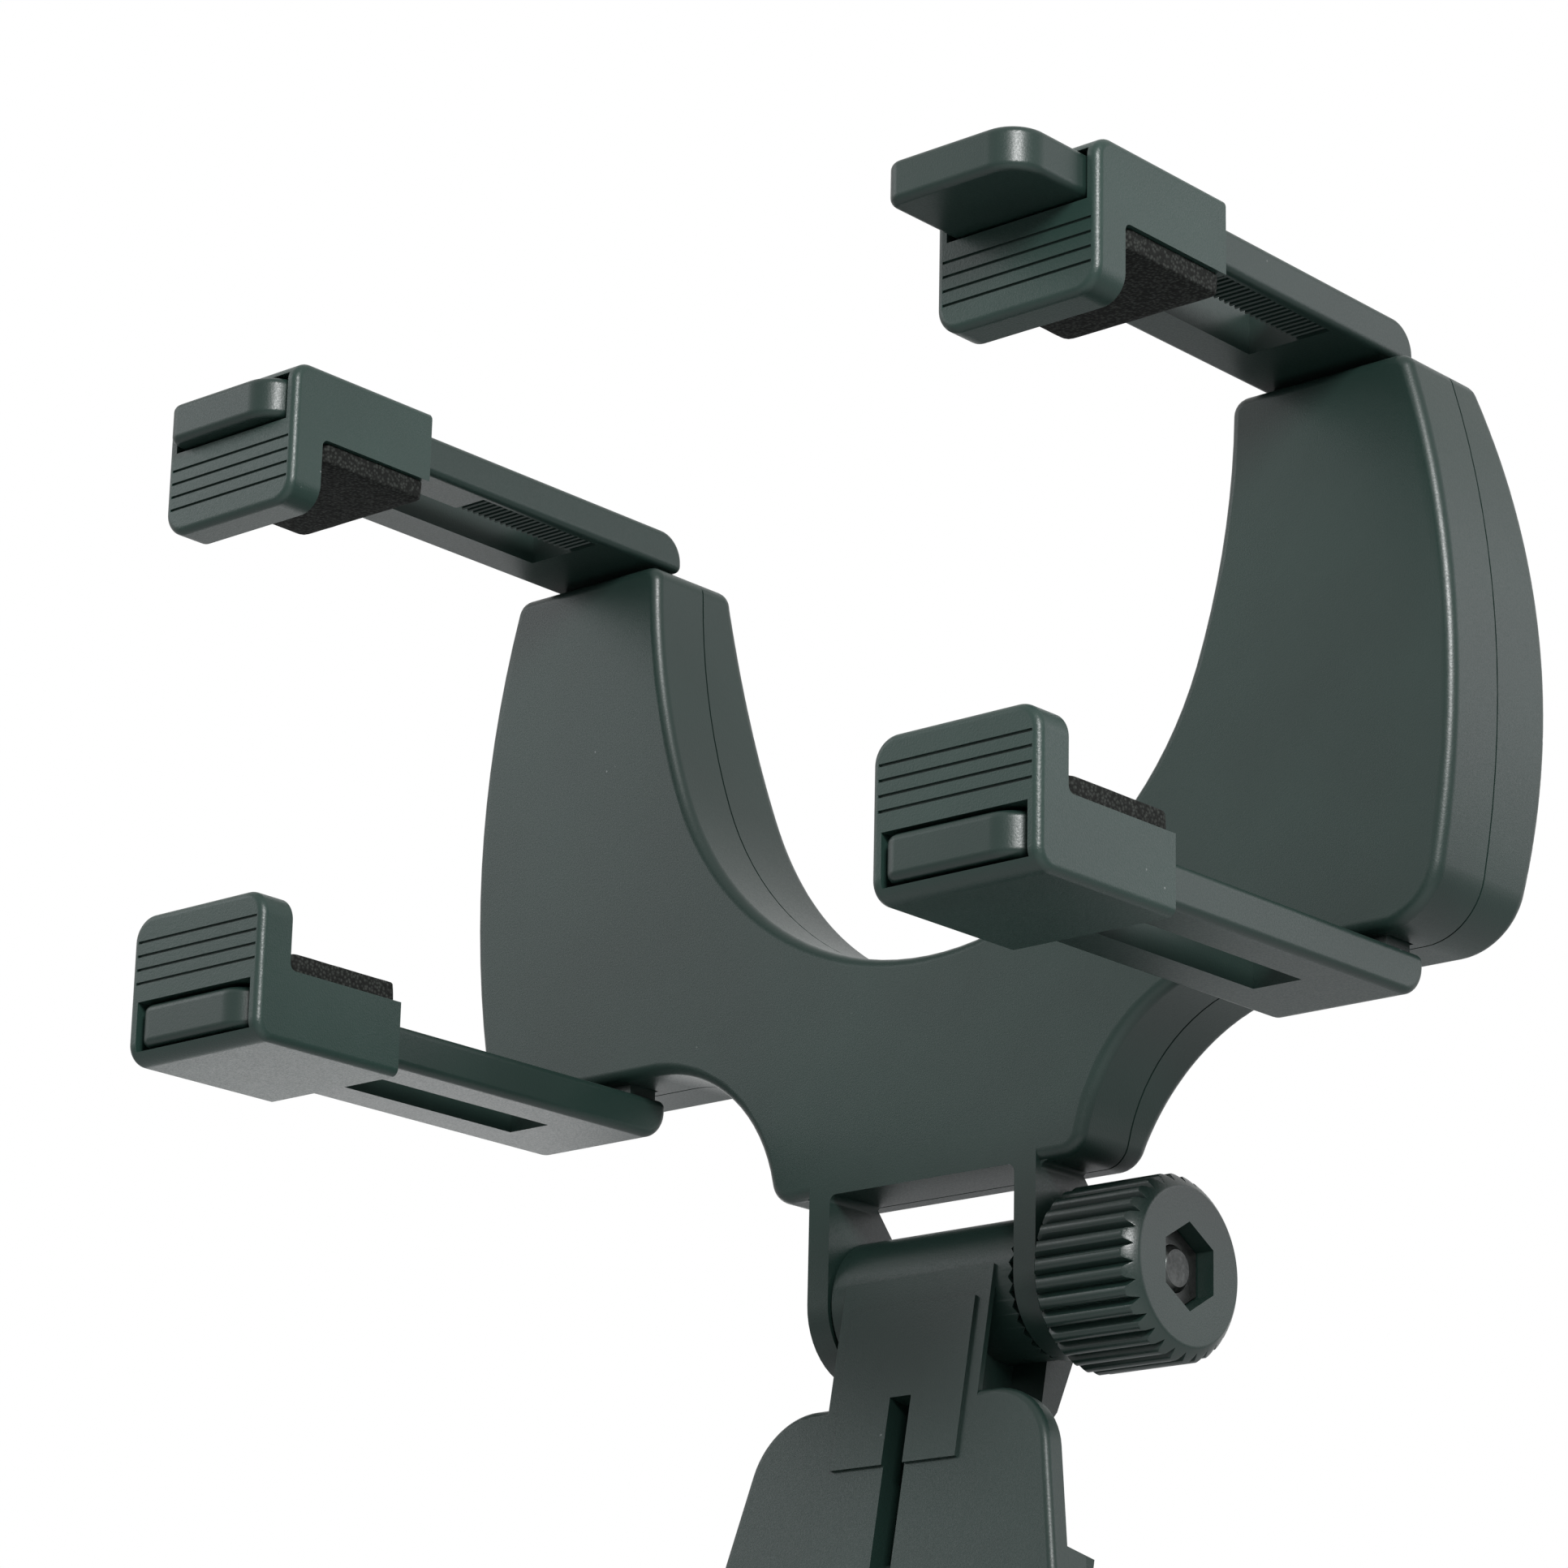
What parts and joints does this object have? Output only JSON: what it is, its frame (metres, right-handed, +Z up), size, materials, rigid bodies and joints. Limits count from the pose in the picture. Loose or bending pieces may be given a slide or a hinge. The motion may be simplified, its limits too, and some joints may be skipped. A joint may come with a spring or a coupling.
{
  "type": "rearview mirror phone holder",
  "caption": "Clip-on phone holder for a car's rearview mirror: a U-shaped bracket with padded sliding hooks grips the mirror, and a tilting plate with sprung jaws carries the phone.",
  "frame": {"origin": "middle of the mirror seat, in the plane of the bracket's front face", "axes": "+X to the right as the driver sees it, +Y to the rear of the bracket, away from the driver, +Z up"},
  "size_m": [0.1396, 0.0785, 0.1738],
  "materials": {
    "plastic": "satin, fine speckle",
    "foam": "matt, grainy",
    "steel": "plated"
  },
  "bodies": {
    "bracket": {"front_shell": "plastic", "rear_cover": "plastic", "cover_screws": "steel", "bottom_arm_left": "plastic", "bottom_arm_right": "plastic", "hinge_bolt": "steel", "hinge_washer": "steel", "spring_left": "steel", "spring_right": "steel"},
    "top_arm_left": {"top_arm_left": "plastic"},
    "top_arm_right": {"top_arm_right": "plastic"},
    "hook_top_left": {"hook_top_left": "plastic", "hook_pad_top_left": "foam"},
    "hook_top_right": {"hook_top_right": "plastic", "hook_pad_top_right": "foam"},
    "hook_bottom_left": {"hook_bottom_left": "plastic", "hook_pad_bottom_left": "foam"},
    "hook_bottom_right": {"hook_bottom_right": "plastic", "hook_pad_bottom_right": "foam"},
    "holder": {"holder_arm": "plastic", "clamp_cover": "plastic", "clamp_screws": "steel"},
    "knob": {"hinge_knob": "plastic", "hinge_nut": "steel"},
    "jaw_left": {"jaw_left": "plastic", "jaw_pad_left": "foam"},
    "jaw_right": {"jaw_right": "plastic", "jaw_pad_right": "foam"},
    "foot": {"foot": "plastic", "foot_pad": "foam"}
  },
  "joints": [
    {"name": "top_arm_left_lift", "type": "slide", "parent": "bracket", "child": "top_arm_left", "axis": [0, 0, 1], "range_m": [0, 0.024], "stiffness_N_per_m": 200, "springref_m": -0.02, "deforming": ["spring_left"]},
    {"name": "top_arm_right_lift", "type": "slide", "parent": "bracket", "child": "top_arm_right", "axis": [0, 0, 1], "range_m": [0, 0.024], "stiffness_N_per_m": 200, "springref_m": -0.02, "deforming": ["spring_right"]},
    {"name": "hook_top_left_slide", "type": "slide", "parent": "top_arm_left", "child": "hook_top_left", "axis": [0, 1, 0], "range_m": [-0.002, 0.034]},
    {"name": "hook_top_right_slide", "type": "slide", "parent": "top_arm_right", "child": "hook_top_right", "axis": [0, 1, 0], "range_m": [-0.0103, 0.026]},
    {"name": "hook_bottom_left_slide", "type": "slide", "parent": "bracket", "child": "hook_bottom_left", "axis": [0, 1, 0], "range_m": [0, 0.034]},
    {"name": "hook_bottom_right_slide", "type": "slide", "parent": "bracket", "child": "hook_bottom_right", "axis": [0, 1, 0], "range_m": [0, 0.034]},
    {"name": "holder_tilt", "type": "hinge", "parent": "bracket", "child": "holder", "pos_m": [0, 0.008, -0.0607], "axis": [1, 0, 0], "range_deg": [-60, 30]},
    {"name": "knob_turn", "type": "hinge", "parent": "bracket", "child": "knob", "pos_m": [0.0233, 0.008, -0.0607], "axis": [1, 0, 0], "continuous": true},
    {"name": "jaw_left_slide", "type": "slide", "parent": "holder", "child": "jaw_left", "axis": [-1, 0, 0], "range_m": [0, 0.015], "stiffness_N_per_m": 300, "springref_m": -0.02},
    {"name": "jaw_right_slide", "type": "slide", "parent": "holder", "child": "jaw_right", "axis": [1, 0, 0], "range_m": [0, 0.015], "stiffness_N_per_m": 300, "springref_m": -0.02},
    {"name": "foot_slide", "type": "slide", "parent": "holder", "child": "foot", "axis": [0, 0.1771, 0.9842], "range_m": [0, 0.022]}
  ]
}
